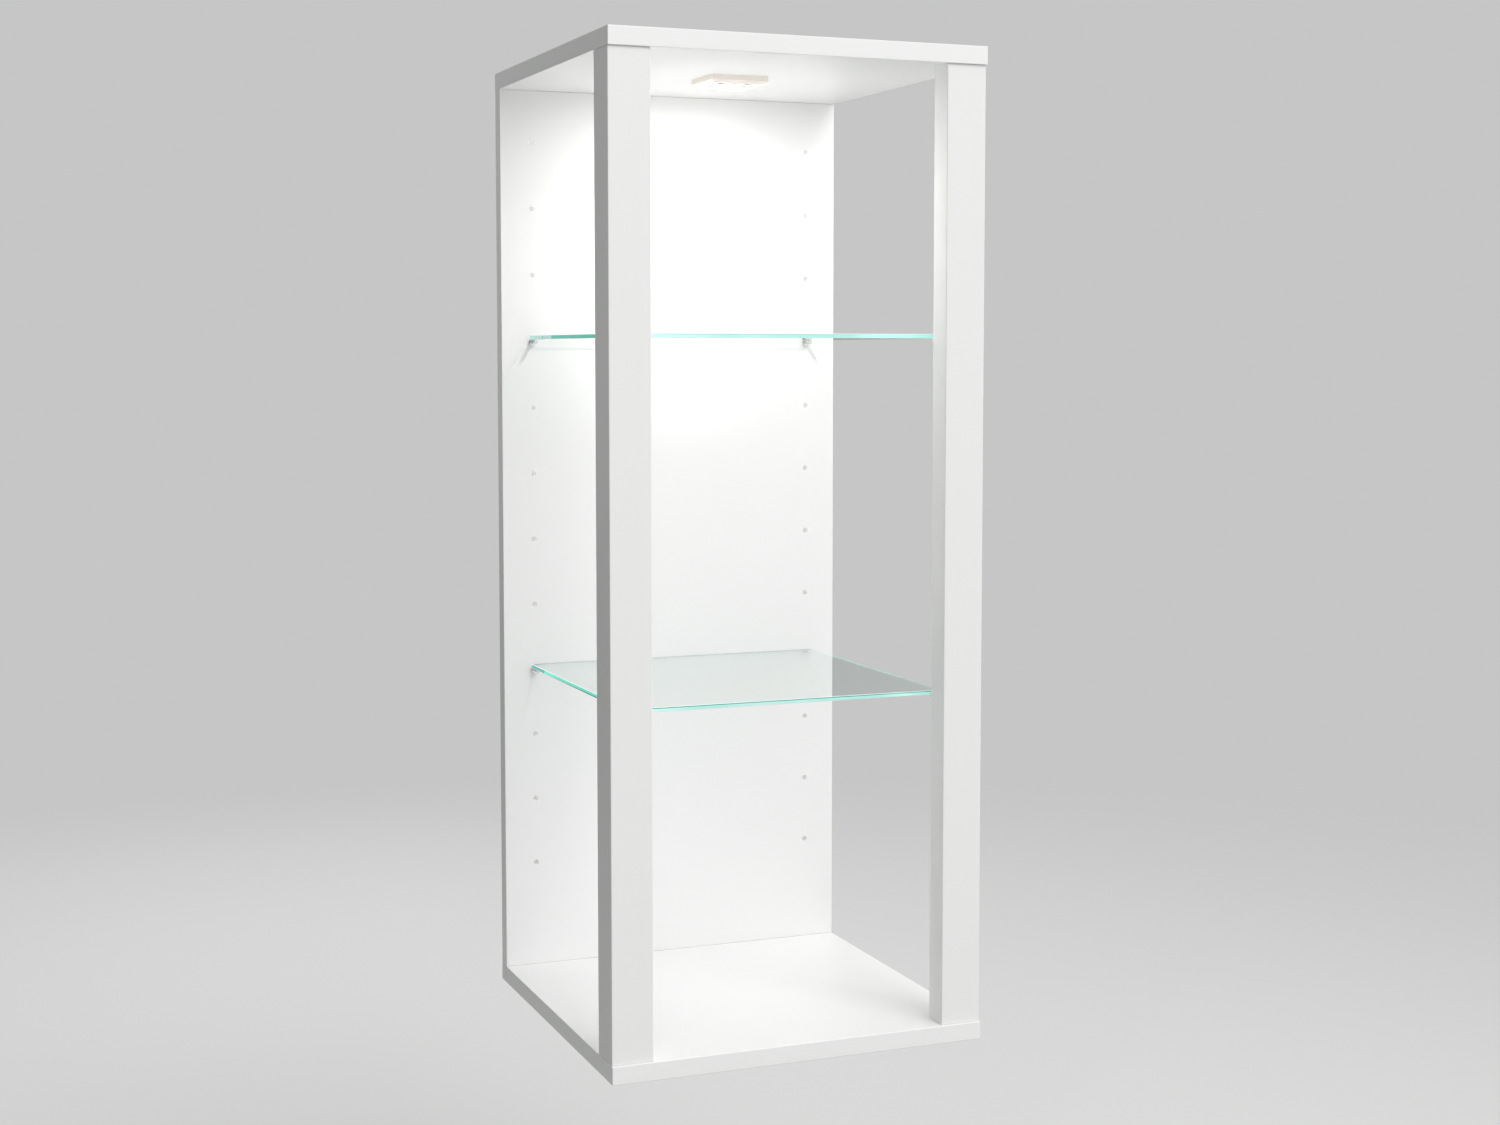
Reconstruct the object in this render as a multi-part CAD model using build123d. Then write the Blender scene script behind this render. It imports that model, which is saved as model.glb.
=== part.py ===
"""A wall mounted open showcase: two boards, a back panel, two front posts and two glass shelves.

Units are millimetres. The origin is the centre of the rear face, which lies on the wall.
+X is to the right seen from the front, +Y goes into the wall and +Z is up.
"""

from build123d import *
import os

os.makedirs("parts", exist_ok=True)

# ---------------------------------------------------------------- driving dimensions

WIDTH = 350.0
DEPTH = 348.0
HEIGHT = 887.0
BOARD = 16.0

# Plastic strip glued on every sawn edge that shows.
EDGING = 1.0
EDGE_RADIUS = 0.6
SEAM_CHAMFER = 0.4

# Front posts: a square bar with a rebate cut out of its inner rear corner.
POST_WIDTH = 37.5
POST_DEPTH = 37.0
POST_SIDE_INSET = 0.5
POST_SETBACK = 2.5
POST_REBATE_WIDTH = 13.0
POST_REBATE_DEPTH = 11.5
POST_RADIUS = 0.8

# Shelf pin holes, on a 32 mm system grid.
GRID = 32.0
ROW_PITCH = 2 * GRID
ROW_COUNT = 12
COLUMN_INSET = 31.0
FIRST_ROW_DROP = 49.0
PIN_HOLE_DIAMETER = 5.0
PIN_HOLE_DEPTH = 10.0

# Shelf pins, each a steel stud with a collar and a clear sleeve under the glass.
PIN_PEG_DIAMETER = 4.9
PIN_PEG_LENGTH = 9.5
PIN_COLLAR_DIAMETER = 7.5
PIN_COLLAR_LENGTH = 2.0
PIN_CORE_DIAMETER = 3.0
PIN_CORE_LENGTH = 9.4
SLEEVE_DIAMETER = 4.0
SLEEVE_LENGTH = 10.0
SLEEVE_BORE_DIAMETER = 3.04
SLEEVE_END_GAP = 0.05
PIN_PEG_CHAMFER = 0.5
PIN_COLLAR_REAR_CHAMFER = 0.3
PIN_COLLAR_FRONT_CHAMFER = 0.5
PIN_TIP_CHAMFER = 0.4

# Glass shelves.
SHELF_WIDTH = 298.0
SHELF_DEPTH = 296.0
SHELF_THICKNESS = 4.0
SHELF_ARRIS = 0.4
SHELF_CORNER_RADIUS = 1.0
SHELF_POST_GAP = 2.0
UPPER_SHELF_ROW = 4
LOWER_SHELF_ROW = 9

# Lamp under the top board.
LAMP_SIZE = 55.0
LAMP_HEIGHT = 7.5
LAMP_CHAMFER = 3.0
LAMP_CORNER_RADIUS = 0.8
LAMP_RIM = 2.0
LAMP_FROM_FRONT = 175.0
LAMP_GAP = 0.1
BASE_PLATE_THICKNESS = 1.2
LAMP_WEB_THICKNESS = 1.0
CIRCUIT_BOARD_THICKNESS = 1.2
LED_SIZE = 3.5
LED_HEIGHT = 1.0
LENS_THICKNESS = 1.2
LENS_RECESS = 0.2
LENSLET_DIAMETER = 9.0
LENSLET_HEIGHT = 0.9
LED_COUNT_PER_SIDE = 3
LED_PITCH = 12.5
LAMP_SCREW_OFFSET = 15.0
LAMP_LEAD_SLACK = 1.0
CIRCUIT_BOARD_SLACK = 1.0
LED_CHAMFER = 0.3

# Screws that hold the lamp's base plate under the top board.
LAMP_SCREW_DIAMETER = 2.8
LAMP_SCREW_LENGTH = 9.0
LAMP_SCREW_HEAD_DIAMETER = 5.3
LAMP_SCREW_NECK_DIAMETER = 2.9
LAMP_SCREW_SINK_PLAY = 0.1
LAMP_SCREW_CROSS_LENGTH = 2.6
LAMP_SCREW_CROSS_WIDTH = 0.6
LAMP_PILOT_DIAMETER = 2.9
LAMP_PILOT_DEPTH = 10.0

# Lead outlet above the lamp.
LEAD_HOLE_DIAMETER = 8.0
GROMMET_BORE_DIAMETER = 5.0
GROMMET_BODY_DIAMETER = 7.9
GROMMET_BODY_LENGTH = 10.0
GROMMET_FLANGE_DIAMETER = 14.0
GROMMET_FLANGE_THICKNESS = 1.0
GROMMET_FLANGE_TAPER = 0.6

# Joint screws, 7 x 50, driven through the boards into the panel and the posts.
SCREW_DIAMETER = 7.0
SCREW_ROOT_DIAMETER = 5.2
SCREW_LENGTH = 50.0
SCREW_SHANK = 13.0
SCREW_PITCH = 3.0
SCREW_THREAD_RISE = 0.6
SCREW_THREAD_FALL = 0.8
SCREW_CREST_WIDTH = 0.2
SCREW_POINT_LENGTH = 2.0
SCREW_PLAIN_END = 3.0
SCREW_HOLE_SLACK = 2.0
SCREW_HEAD_DIAMETER = 10.0
SCREW_HEAD_HEIGHT = 3.0
SCREW_HEAD_RECESS = 0.5
SINK_DIAMETER = 10.2
SCREW_SOCKET_RADIUS = 2.3
SCREW_SOCKET_DEPTH = 2.5
SCREW_HOLE_DIAMETER = 7.1
CAP_DIAMETER = 12.5
CAP_HEIGHT = 1.2
CAP_STEM_RADIUS = 2.2
CAP_STEM_LENGTH = 2.0
CAP_EDGE_RADIUS = 0.84

# Fluted wooden dowels, 8 x 30, beside the screws.
DOWEL_DIAMETER = 7.9
DOWEL_LENGTH = 30.0
DOWEL_IN_BOARD = 12.0
DOWEL_HOLE_DIAMETER = 8.0
DOWEL_HOLE_SLACK = 0.5
DOWEL_CHAMFER = 1.0
DOWEL_FLUTES = 12
DOWEL_FLUTE_RADIUS = 0.35

# Joint places: the panel screws and dowels from its middle, the post ones from its corner.
PANEL_SCREW_X = 127.0
PANEL_DOWEL_X = 63.0
POST_SCREW_FROM_SIDE = 18.5
POST_SCREW_FROM_FRONT = 13.0
POST_DOWEL_FROM_SIDE = 12.0
POST_DOWEL_FROM_FRONT = 27.5

# Keyhole hanger plates, let into the rear face.
HANGER_X = 105.0
HANGER_DROP = 80.0
HANGER_WIDTH = 30.0
HANGER_HEIGHT = 62.0
HANGER_THICKNESS = 2.0
HANGER_CORNER_RADIUS = 6.0
HANGER_PLAY = 0.1
KEYHOLE_ENTRY_DIAMETER = 11.0
KEYHOLE_SLOT_WIDTH = 5.5
KEYHOLE_TRAVEL = 13.0
KEYHOLE_POCKET_DEPTH = 10.0
KEYHOLE_POCKET_MARGIN = 1.5
HANGER_SCREW_SPACING = 48.0
HANGER_SCREW_DIAMETER = 3.5
HANGER_SCREW_LENGTH = 12.0
HANGER_SCREW_HEAD_DIAMETER = 7.0
HANGER_SCREW_HEAD_HEIGHT = 1.8
HANGER_SCREW_TIP_LENGTH = 2.0
HANGER_SCREW_TIP_DIAMETER = 0.4
HANGER_SCREW_CROSS_LENGTH = 3.4
HANGER_SCREW_CROSS_WIDTH = 0.7
HANGER_SCREW_CROSS_DEPTH = 1.0
HANGER_PILOT_PLAY = 0.1
HANGER_PILOT_SLACK = 0.5
HANGER_SINK_NECK_DIAMETER = 3.6
HANGER_SINK_DIAMETER = 7.3

# ---------------------------------------------------------------- derived places

HALF_WIDTH = WIDTH / 2
HALF_HEIGHT = HEIGHT / 2
UPRIGHT = HEIGHT - 2 * BOARD
INNER_TOP = HALF_HEIGHT - BOARD
FRONT = -DEPTH
PANEL_FACE = -BOARD
COLUMN_X = HALF_WIDTH - COLUMN_INSET
POST_OUTER_X = HALF_WIDTH - POST_SIDE_INSET
POST_FRONT = FRONT + POST_SETBACK
POST_REAR = POST_FRONT + POST_DEPTH
REBATE_FACE = POST_REAR - POST_REBATE_DEPTH
FIRST_ROW_Z = INNER_TOP - FIRST_ROW_DROP
SHELF_FRONT = REBATE_FACE + SHELF_POST_GAP
LAMP_Y = FRONT + LAMP_FROM_FRONT
HANGER_Z = INNER_TOP - HANGER_DROP
PANEL_MIDDLE_Y = -BOARD / 2
HEAD_TOP = HALF_HEIGHT - SCREW_HEAD_RECESS


def row_height(row):
    """The height of a row of shelf pin holes, counted from 1 at the top."""
    return FIRST_ROW_Z - (row - 1) * ROW_PITCH


def save(shape, node):
    """Write one node."""
    export_step(shape, f"parts/{node}.step")


def upright_rod(diameter, length, x, y, z_low):
    """A vertical rod whose lower end is at z_low."""
    return Pos(x, y, z_low + length / 2) * Cylinder(diameter / 2, length)


def level_rod(diameter, length, x, y_low, z):
    """A rod along Y whose front end is at y_low."""
    return Pos(x, y_low + length / 2, z) * Rot(90, 0, 0) * Cylinder(diameter / 2, length)


def cross_recess(length, width, depth, top):
    """The cross shaped space cut for a screwdriver, with its upper end at the height top."""
    slot = Box(length, width, depth)
    return Pos(0, 0, top - depth / 2) * (slot + Rot(0, 0, 90) * slot)


def mirrored_down(shape):
    """The same shape reflected from the top joint to the bottom joint."""
    return mirror(shape, about=Plane.XY)


# ---------------------------------------------------------------- joint places

def joint_places(panel_x, from_side, from_front):
    """The four places, in plan, of one kind of fastener: two in the panel, one in each post."""
    post_x = POST_OUTER_X - from_side
    post_y = POST_FRONT + from_front
    return [
        (-panel_x, PANEL_MIDDLE_Y),
        (panel_x, PANEL_MIDDLE_Y),
        (-post_x, post_y),
        (post_x, post_y),
    ]


SCREW_PLACES = joint_places(PANEL_SCREW_X, POST_SCREW_FROM_SIDE, POST_SCREW_FROM_FRONT)
DOWEL_PLACES = joint_places(PANEL_DOWEL_X, POST_DOWEL_FROM_SIDE, POST_DOWEL_FROM_FRONT)


def board_joint_cuts():
    """Holes through and into the top board for its screws and dowels."""
    cuts = []
    for x, y in SCREW_PLACES:
        cuts.append(upright_rod(SCREW_HOLE_DIAMETER, BOARD, x, y, INNER_TOP))
        sink = Cone(SCREW_HOLE_DIAMETER / 2, SINK_DIAMETER / 2, SCREW_HEAD_HEIGHT)
        cuts.append(Pos(x, y, HEAD_TOP - SCREW_HEAD_HEIGHT / 2) * sink)
        cuts.append(upright_rod(SINK_DIAMETER, SCREW_HEAD_RECESS, x, y, HEAD_TOP))
    for x, y in DOWEL_PLACES:
        depth = DOWEL_IN_BOARD + DOWEL_HOLE_SLACK
        cuts.append(upright_rod(DOWEL_HOLE_DIAMETER, depth, x, y, INNER_TOP))
    return cuts


def upright_joint_cuts(places_wanted):
    """Holes down into the top end of the panel or of a post."""
    cuts = []
    screw_depth = SCREW_LENGTH - BOARD + SCREW_HOLE_SLACK
    dowel_depth = DOWEL_LENGTH - DOWEL_IN_BOARD + DOWEL_HOLE_SLACK
    for index in places_wanted:
        x, y = SCREW_PLACES[index]
        cuts.append(upright_rod(SCREW_HOLE_DIAMETER, screw_depth, x, y, INNER_TOP - screw_depth))
        x, y = DOWEL_PLACES[index]
        cuts.append(upright_rod(DOWEL_HOLE_DIAMETER, dowel_depth, x, y, INNER_TOP - dowel_depth))
    return cuts


# ---------------------------------------------------------------- boards and edging

def board_core(cuts):
    """The chipboard of the top board, inside its edging."""
    width = WIDTH - 2 * EDGING
    depth = DEPTH - EDGING
    return Pos(0, -depth / 2, INNER_TOP + BOARD / 2) * Box(width, depth, BOARD) - cuts


def board_front_edging():
    """The strip along the front of the top board."""
    strip = Pos(0, FRONT + EDGING / 2, INNER_TOP + BOARD / 2) * Box(WIDTH, EDGING, BOARD)
    outer_edges = strip.faces().sort_by(Axis.Y)[0].edges()
    return fillet(outer_edges, EDGE_RADIUS)


def board_side_edging(side):
    """The strip along one side of the top board: side is -1 on the left and 1 on the right."""
    depth = DEPTH - EDGING
    x = side * (HALF_WIDTH - EDGING / 2)
    strip = Pos(x, -depth / 2, INNER_TOP + BOARD / 2) * Box(EDGING, depth, BOARD)
    outer_face = strip.faces().sort_by(Axis.X)[0 if side < 0 else -1]
    return fillet(outer_face.edges().filter_by(Axis.Y), EDGE_RADIUS)


def make_boards():
    lead_hole = upright_rod(LEAD_HOLE_DIAMETER, BOARD, 0, LAMP_Y, INNER_TOP)
    pilots = []
    for x in (-LAMP_SCREW_OFFSET, LAMP_SCREW_OFFSET):
        pilots.append(upright_rod(LAMP_PILOT_DIAMETER, LAMP_PILOT_DEPTH, x, LAMP_Y, INNER_TOP))
    save(board_core(board_joint_cuts() + [lead_hole] + pilots), "top_board")
    save(mirrored_down(board_core(board_joint_cuts())), "bottom_board")
    save(board_front_edging(), "top_front_edging")
    save(mirrored_down(board_front_edging()), "bottom_front_edging")
    for side, word in ((-1, "left"), (1, "right")):
        save(board_side_edging(side), f"top_{word}_edging")
        save(mirrored_down(board_side_edging(side)), f"bottom_{word}_edging")


# ---------------------------------------------------------------- back panel

def keyhole_outline():
    """A keyhole: a round entry below and a slot that rises from it, centred on the travel."""
    entry = Pos(0, -KEYHOLE_TRAVEL / 2) * Circle(KEYHOLE_ENTRY_DIAMETER / 2)
    slot = SlotCenterToCenter(KEYHOLE_TRAVEL, KEYHOLE_SLOT_WIDTH, rotation=90)
    return entry + slot


def hanger_outline(play=0.0):
    return RectangleRounded(HANGER_WIDTH + 2 * play, HANGER_HEIGHT + 2 * play, HANGER_CORNER_RADIUS)


def into_rear_face(outline, x, z, depth):
    """An outline on the rear face, carried forward to a depth below the face."""
    face_plane = Plane(origin=(x, 0, z), x_dir=(-1, 0, 0), z_dir=(0, 1, 0))
    return extrude(face_plane * outline, amount=-depth)


def hanger_cuts(side):
    """The shallow seat of a hanger plate and the pocket behind its keyhole."""
    x = side * HANGER_X
    seat = into_rear_face(hanger_outline(HANGER_PLAY), x, HANGER_Z, HANGER_THICKNESS + HANGER_PLAY)
    pocket_width = KEYHOLE_ENTRY_DIAMETER + 2 * KEYHOLE_POCKET_MARGIN
    pocket_outline = SlotCenterToCenter(KEYHOLE_TRAVEL, pocket_width, rotation=90)
    pocket = into_rear_face(pocket_outline, x, HANGER_Z, KEYHOLE_POCKET_DEPTH)
    diameter = HANGER_SCREW_DIAMETER + HANGER_PILOT_PLAY
    depth = HANGER_SCREW_LENGTH + HANGER_PILOT_SLACK
    pilots = []
    for z_offset in (-HANGER_SCREW_SPACING / 2, HANGER_SCREW_SPACING / 2):
        pilots.append(level_rod(diameter, depth, x, -depth, HANGER_Z + z_offset))
    return [seat, pocket] + pilots


def make_back_panel():
    width = WIDTH - 2 * EDGING
    panel = Pos(0, -BOARD / 2, 0) * Box(width, BOARD, UPRIGHT)
    front_face = panel.faces().sort_by(Axis.Y)[0]
    panel = chamfer(front_face.edges().filter_by(Axis.X), SEAM_CHAMFER)
    cuts = upright_joint_cuts((0, 1))
    cuts += [mirrored_down(cut) for cut in upright_joint_cuts((0, 1))]
    for row in range(1, ROW_COUNT + 1):
        for x in (-COLUMN_X, COLUMN_X):
            cuts.append(level_rod(PIN_HOLE_DIAMETER, PIN_HOLE_DEPTH, x, PANEL_FACE, row_height(row)))
    cuts += hanger_cuts(-1) + hanger_cuts(1)
    save(panel - cuts, "back_panel")
    for side, word in ((-1, "left"), (1, "right")):
        x = side * (HALF_WIDTH - EDGING / 2)
        strip = Pos(x, -BOARD / 2, 0) * Box(EDGING, BOARD, UPRIGHT)
        outer_face = strip.faces().sort_by(Axis.X)[0 if side < 0 else -1]
        save(fillet(outer_face.edges().filter_by(Axis.Z), EDGE_RADIUS), f"panel_{word}_edging")


# ---------------------------------------------------------------- posts

def make_post(side, word):
    """A full height post: a rounded square bar less the rebate that takes the corner of the glass."""
    inner_x = POST_OUTER_X - POST_WIDTH
    rebate_x = inner_x + POST_REBATE_WIDTH
    outline = make_face(
        Polyline(
            (POST_OUTER_X, POST_FRONT),
            (POST_OUTER_X, POST_REAR),
            (rebate_x, POST_REAR),
            (rebate_x, REBATE_FACE),
            (inner_x, REBATE_FACE),
            (inner_x, POST_FRONT),
            close=True,
        )
    )
    inner_corner = outline.vertices().sort_by_distance((rebate_x, REBATE_FACE, 0))[0]
    outline = fillet([corner for corner in outline.vertices() if corner != inner_corner], POST_RADIUS)
    post = extrude(Pos(0, 0, -UPRIGHT / 2) * outline, amount=UPRIGHT)
    post = chamfer(post.edges().group_by(Axis.Z)[-1] + post.edges().group_by(Axis.Z)[0], SEAM_CHAMFER)
    cuts = upright_joint_cuts((3,))
    cuts += [mirrored_down(cut) for cut in upright_joint_cuts((3,))]
    hole_front = REBATE_FACE - PIN_HOLE_DEPTH
    for row in range(1, ROW_COUNT + 1):
        cuts.append(level_rod(PIN_HOLE_DIAMETER, PIN_HOLE_DEPTH, COLUMN_X, hole_front, row_height(row)))
    post = post - cuts
    if side < 0:
        post = mirror(post, about=Plane.YZ)
    save(post, f"{word}_post")


# ---------------------------------------------------------------- glass shelves and their pins

def shelf_pin():
    """A pin along +Z: peg below 0, then the collar and the core that carries the sleeve."""
    peg = PIN_PEG_DIAMETER / 2
    collar = PIN_COLLAR_DIAMETER / 2
    core = PIN_CORE_DIAMETER / 2
    tip = PIN_COLLAR_LENGTH + PIN_CORE_LENGTH
    profile = make_face(
        Polyline(
            (0, -PIN_PEG_LENGTH),
            (peg - PIN_PEG_CHAMFER, -PIN_PEG_LENGTH),
            (peg, -PIN_PEG_LENGTH + PIN_PEG_CHAMFER),
            (peg, 0),
            (collar - PIN_COLLAR_REAR_CHAMFER, 0),
            (collar, PIN_COLLAR_REAR_CHAMFER),
            (collar, PIN_COLLAR_LENGTH - PIN_COLLAR_FRONT_CHAMFER),
            (collar - PIN_COLLAR_FRONT_CHAMFER, PIN_COLLAR_LENGTH),
            (core, PIN_COLLAR_LENGTH),
            (core, tip - PIN_TIP_CHAMFER),
            (core - PIN_TIP_CHAMFER, tip),
            (0, tip),
            close=True,
        )
    )
    return revolve(Plane.XZ * profile, Axis.Z)


def pin_sleeve():
    """A clear cap along +Z that covers the core of a pin."""
    outer = SLEEVE_DIAMETER / 2
    bore = SLEEVE_BORE_DIAMETER / 2
    start = PIN_COLLAR_LENGTH
    bore_end = start + PIN_CORE_LENGTH + SLEEVE_END_GAP
    end = start + SLEEVE_LENGTH
    profile = make_face(
        Polyline(
            (bore, start),
            (outer, start),
            (outer, end - PIN_TIP_CHAMFER),
            (outer - PIN_TIP_CHAMFER, end),
            (0, end),
            (0, bore_end),
            (bore, bore_end),
            close=True,
        )
    )
    return revolve(Plane.XZ * profile, Axis.Z)


def at_pin_places(shape, row):
    """Copies of a pin shape at the four holes of a row, by name."""
    forward = Rot(90, 0, 0)
    rearward = Rot(-90, 0, 0)
    z = row_height(row)
    return {
        "rear_left": Pos(-COLUMN_X, PANEL_FACE, z) * forward * shape,
        "rear_right": Pos(COLUMN_X, PANEL_FACE, z) * forward * shape,
        "front_left": Pos(-COLUMN_X, REBATE_FACE, z) * rearward * shape,
        "front_right": Pos(COLUMN_X, REBATE_FACE, z) * rearward * shape,
    }


def make_shelf(row, word):
    bottom = row_height(row) + SLEEVE_DIAMETER / 2
    outline = RectangleRounded(SHELF_WIDTH, SHELF_DEPTH, SHELF_CORNER_RADIUS)
    glass = extrude(Pos(0, SHELF_FRONT + SHELF_DEPTH / 2, bottom) * outline, amount=SHELF_THICKNESS)
    rims = glass.edges().group_by(Axis.Z)
    save(chamfer(rims[0] + rims[-1], SHELF_ARRIS), f"{word}_shelf")
    for place, pin in at_pin_places(shelf_pin(), row).items():
        save(pin, f"{word}_pin_{place}")
    for place, sleeve in at_pin_places(pin_sleeve(), row).items():
        save(sleeve, f"{word}_sleeve_{place}")


# ---------------------------------------------------------------- lamp

LAMP_INNER = LAMP_SIZE - 2 * (LAMP_CHAMFER + LAMP_RIM)
LAMP_INSIDE = LAMP_INNER - 2 * LAMP_GAP
WEB_TOP = INNER_TOP - BASE_PLATE_THICKNESS - LAMP_GAP
WEB_BOTTOM = WEB_TOP - LAMP_WEB_THICKNESS
CIRCUIT_BOARD_BOTTOM = WEB_BOTTOM - CIRCUIT_BOARD_THICKNESS
RIM_BOTTOM = INNER_TOP - LAMP_HEIGHT
LENS_BOTTOM = RIM_BOTTOM + LENS_RECESS + LENSLET_HEIGHT


def square_plate(size, z_low, z_high):
    """A square block centred on the lamp, from z_low to z_high."""
    return Pos(0, LAMP_Y, (z_low + z_high) / 2) * Box(size, size, z_high - z_low)


def led_places():
    """The places of the light emitters, and of the lens domes under them, about the lamp's centre."""
    return GridLocations(LED_PITCH, LED_PITCH, LED_COUNT_PER_SIDE, LED_COUNT_PER_SIDE)


def lamp_housing():
    """A shallow square box with chamfered lower edges and a web that parts the lens from the base plate."""
    wide_square = RectangleRounded(LAMP_SIZE, LAMP_SIZE, LAMP_CORNER_RADIUS)
    rim_size = LAMP_SIZE - 2 * LAMP_CHAMFER
    narrow_square = RectangleRounded(rim_size, rim_size, LAMP_CORNER_RADIUS)
    chamfer_top = RIM_BOTTOM + LAMP_CHAMFER
    upper_part = extrude(Pos(0, 0, chamfer_top) * wide_square, amount=INNER_TOP - chamfer_top)
    lower_part = loft([Pos(0, 0, RIM_BOTTOM) * narrow_square, Pos(0, 0, chamfer_top) * wide_square])
    plate_pocket = square_plate(LAMP_INNER, WEB_TOP, INNER_TOP)
    lens_pocket = square_plate(LAMP_INNER, RIM_BOTTOM, WEB_BOTTOM)
    lead_way = upright_rod(GROMMET_BORE_DIAMETER, LAMP_HEIGHT, 0, LAMP_Y, RIM_BOTTOM)
    return Pos(0, LAMP_Y, 0) * (upper_part + lower_part) - [plate_pocket, lens_pocket, lead_way]


def lamp_base_plate():
    """The steel plate that is screwed under the top board and holds the housing."""
    plate_bottom = INNER_TOP - BASE_PLATE_THICKNESS
    lead_diameter = GROMMET_BORE_DIAMETER + LAMP_LEAD_SLACK
    cuts = [upright_rod(lead_diameter, BASE_PLATE_THICKNESS, 0, LAMP_Y, plate_bottom)]
    wide = (LAMP_SCREW_HEAD_DIAMETER + LAMP_SCREW_SINK_PLAY) / 2
    narrow = (LAMP_SCREW_NECK_DIAMETER + LAMP_SCREW_SINK_PLAY) / 2
    for x in (-LAMP_SCREW_OFFSET, LAMP_SCREW_OFFSET):
        sink = Cone(wide, narrow, BASE_PLATE_THICKNESS)
        cuts.append(Pos(x, LAMP_Y, plate_bottom + BASE_PLATE_THICKNESS / 2) * sink)
    return square_plate(LAMP_INSIDE, plate_bottom, INNER_TOP) - cuts


def lamp_screw():
    """A countersunk screw along +Z, with its head's face at 0."""
    head = Cone(LAMP_SCREW_HEAD_DIAMETER / 2, LAMP_SCREW_NECK_DIAMETER / 2, BASE_PLATE_THICKNESS)
    head = Pos(0, 0, BASE_PLATE_THICKNESS / 2) * head
    shank = upright_rod(LAMP_SCREW_DIAMETER, LAMP_SCREW_LENGTH, 0, 0, BASE_PLATE_THICKNESS)
    width = LAMP_SCREW_CROSS_WIDTH
    return head + shank - cross_recess(LAMP_SCREW_CROSS_LENGTH, width, width, width)


def lamp_lens():
    """A clear plate with one shallow dome under each light emitter."""
    lens = square_plate(LAMP_INSIDE, LENS_BOTTOM, LENS_BOTTOM + LENS_THICKNESS)
    radius = (LENSLET_DIAMETER**2 / 4 + LENSLET_HEIGHT**2) / (2 * LENSLET_HEIGHT)
    dome_space = Pos(0, 0, -LENSLET_HEIGHT / 2) * Box(LENSLET_DIAMETER, LENSLET_DIAMETER, LENSLET_HEIGHT)
    dome = Pos(0, 0, radius - LENSLET_HEIGHT) * Sphere(radius) & dome_space
    for place in led_places():
        lens = lens + Pos(0, LAMP_Y, LENS_BOTTOM) * place * dome
    return lens


def lead_grommet():
    """A flanged plastic bush that lines the lead outlet in the top board."""
    bore = GROMMET_BORE_DIAMETER / 2
    body = GROMMET_BODY_DIAMETER / 2
    flange = GROMMET_FLANGE_DIAMETER / 2
    flange_top = HALF_HEIGHT + GROMMET_FLANGE_THICKNESS
    profile = make_face(
        Polyline(
            (bore, HALF_HEIGHT - GROMMET_BODY_LENGTH),
            (body, HALF_HEIGHT - GROMMET_BODY_LENGTH),
            (body, HALF_HEIGHT),
            (flange, HALF_HEIGHT),
            (flange - GROMMET_FLANGE_TAPER, flange_top),
            (bore, flange_top),
            close=True,
        )
    )
    return Pos(0, LAMP_Y, 0) * revolve(Plane.XZ * profile, Axis.Z)


def make_lamp():
    save(lamp_housing(), "lamp_housing")
    save(lamp_base_plate(), "lamp_base_plate")
    screw_z = INNER_TOP - BASE_PLATE_THICKNESS
    screws = [Pos(x, LAMP_Y, screw_z) * lamp_screw() for x in (-LAMP_SCREW_OFFSET, LAMP_SCREW_OFFSET)]
    save(Compound(children=screws), "lamp_screws")
    circuit_board = square_plate(LAMP_INSIDE - CIRCUIT_BOARD_SLACK, CIRCUIT_BOARD_BOTTOM, WEB_BOTTOM)
    save(circuit_board, "lamp_circuit_board")
    led = chamfer(Box(LED_SIZE, LED_SIZE, LED_HEIGHT).edges().group_by(Axis.Z)[0], LED_CHAMFER)
    led_centre = Pos(0, LAMP_Y, CIRCUIT_BOARD_BOTTOM - LED_HEIGHT / 2)
    save(Compound(children=[led_centre * place * led for place in led_places()]), "lamp_leds")
    save(lamp_lens(), "lamp_lens")
    save(lead_grommet(), "lead_grommet")


# ---------------------------------------------------------------- fasteners

def joint_screw():
    """A furniture screw along -Z with its head top at 0, a hexagon socket and ring shaped threads."""
    crest = SCREW_DIAMETER / 2
    root = SCREW_ROOT_DIAMETER / 2
    head = SCREW_HEAD_DIAMETER / 2
    points = [(0, 0), (head, 0), (crest, -SCREW_HEAD_HEIGHT), (crest, -SCREW_SHANK)]
    thread_count = int((SCREW_LENGTH - SCREW_SHANK - SCREW_PLAIN_END) / SCREW_PITCH)
    for turn in range(thread_count):
        start = -SCREW_SHANK - turn * SCREW_PITCH
        end = start - SCREW_PITCH
        points.append((root, start - SCREW_THREAD_RISE))
        points.append((root, end + SCREW_CREST_WIDTH + SCREW_THREAD_FALL))
        points.append((crest, end + SCREW_CREST_WIDTH))
        points.append((crest, end))
    points.append((root, end - SCREW_THREAD_RISE))
    points.append((root, -SCREW_LENGTH + SCREW_POINT_LENGTH))
    points.append((0, -SCREW_LENGTH))
    body = revolve(Plane.XZ * make_face(Polyline(*points, close=True)), Axis.Z)
    socket = extrude(RegularPolygon(SCREW_SOCKET_RADIUS, 6), amount=-SCREW_SOCKET_DEPTH)
    return body - socket


def screw_cap():
    """A shallow domed cap with a hexagon stem, seated on z = 0."""
    disc = Pos(0, 0, CAP_HEIGHT / 2) * Cylinder(CAP_DIAMETER / 2, CAP_HEIGHT)
    disc = fillet(disc.edges().group_by(Axis.Z)[-1], CAP_EDGE_RADIUS)
    return disc + extrude(RegularPolygon(CAP_STEM_RADIUS, 6), amount=-CAP_STEM_LENGTH)


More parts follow.
